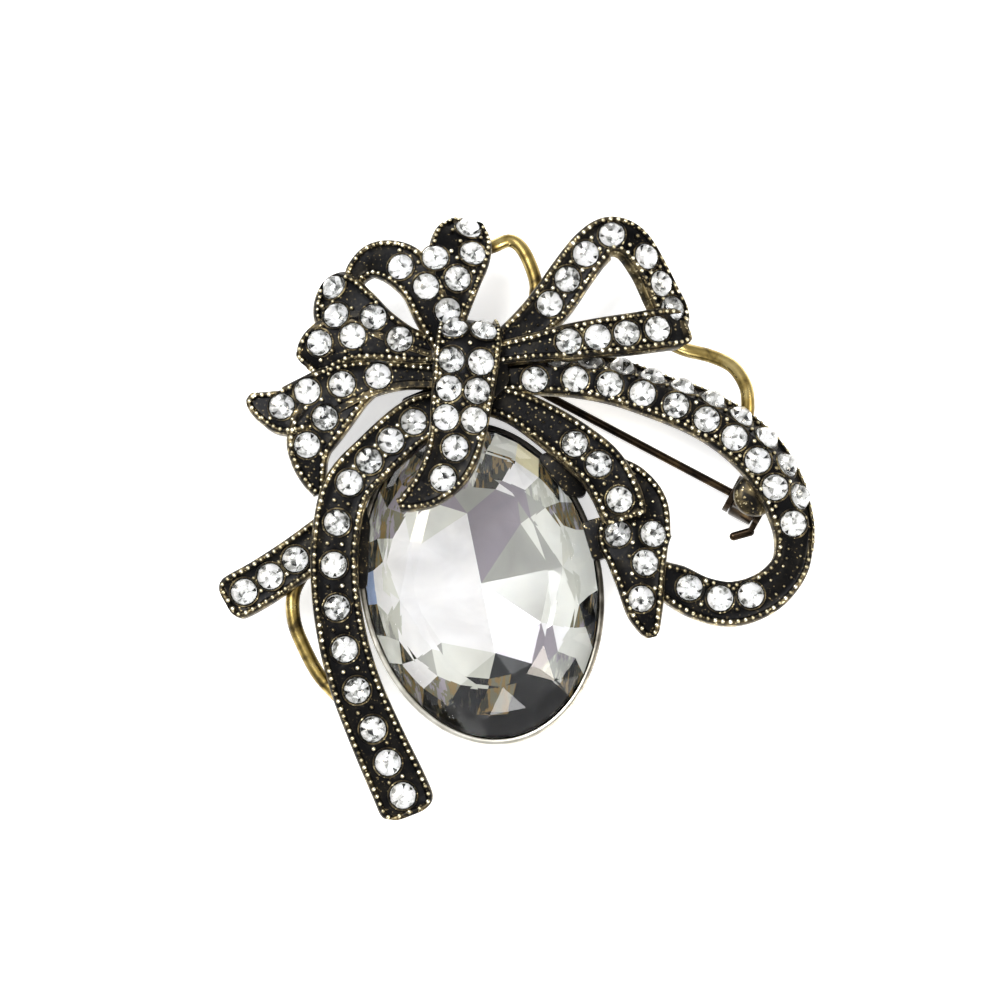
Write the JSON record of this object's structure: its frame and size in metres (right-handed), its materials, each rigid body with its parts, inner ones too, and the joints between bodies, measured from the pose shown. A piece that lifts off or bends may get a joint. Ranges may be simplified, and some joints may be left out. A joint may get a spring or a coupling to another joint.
{
  "type": "bow brooch",
  "caption": "Openwork ribbon bow brooch in antique brass with small round stones, a large oval faceted stone, and a hinged pin with a turning catch.",
  "frame": {"origin": "middle of the brooch's outline on the surface that it lies on", "axes": "+X to the right and +Y up in the picture, +Z out of the bow's face"},
  "size_m": [0.0573, 0.0588, 0.0111],
  "materials": {
    "antique_brass": "cast, blackened in the hollows, edges rubbed bright",
    "oval_glass": "polished facets over a silvered back",
    "small_glass": "polished facets over a foiled back",
    "dark_findings": "dark bronze, satin"
  },
  "bodies": {
    "bow": {"bow_frame": "antique_brass", "oval_stone": "oval_glass", "knot_stones": "small_glass", "top_fan_stones": "small_glass", "left_fan_stones": "small_glass", "left_tail_stones": "small_glass", "long_tail_stones": "small_glass", "short_tail_stones": "small_glass", "right_tail_stones": "small_glass", "upper_loop_stones": "small_glass", "loop_outer_stones": "small_glass", "loop_inner_stones": "small_glass", "pin_hinge": "dark_findings", "catch_body": "dark_findings"},
    "pin": {"pin_stem": "dark_findings"},
    "catch": {"catch_ring": "dark_findings"}
  },
  "joints": [
    {"name": "pin_swing", "type": "hinge", "parent": "bow", "child": "pin", "pos_m": [-0.00367, 0.01596, 0.002], "axis": [0.4737, 0.8807, 0], "range_deg": [0, 60]},
    {"name": "catch_turn", "type": "hinge", "parent": "bow", "child": "catch", "pos_m": [0.02267, 0.00179, 0.002], "axis": [0.8807, -0.4737, 0], "range_deg": [0, 90]}
  ]
}
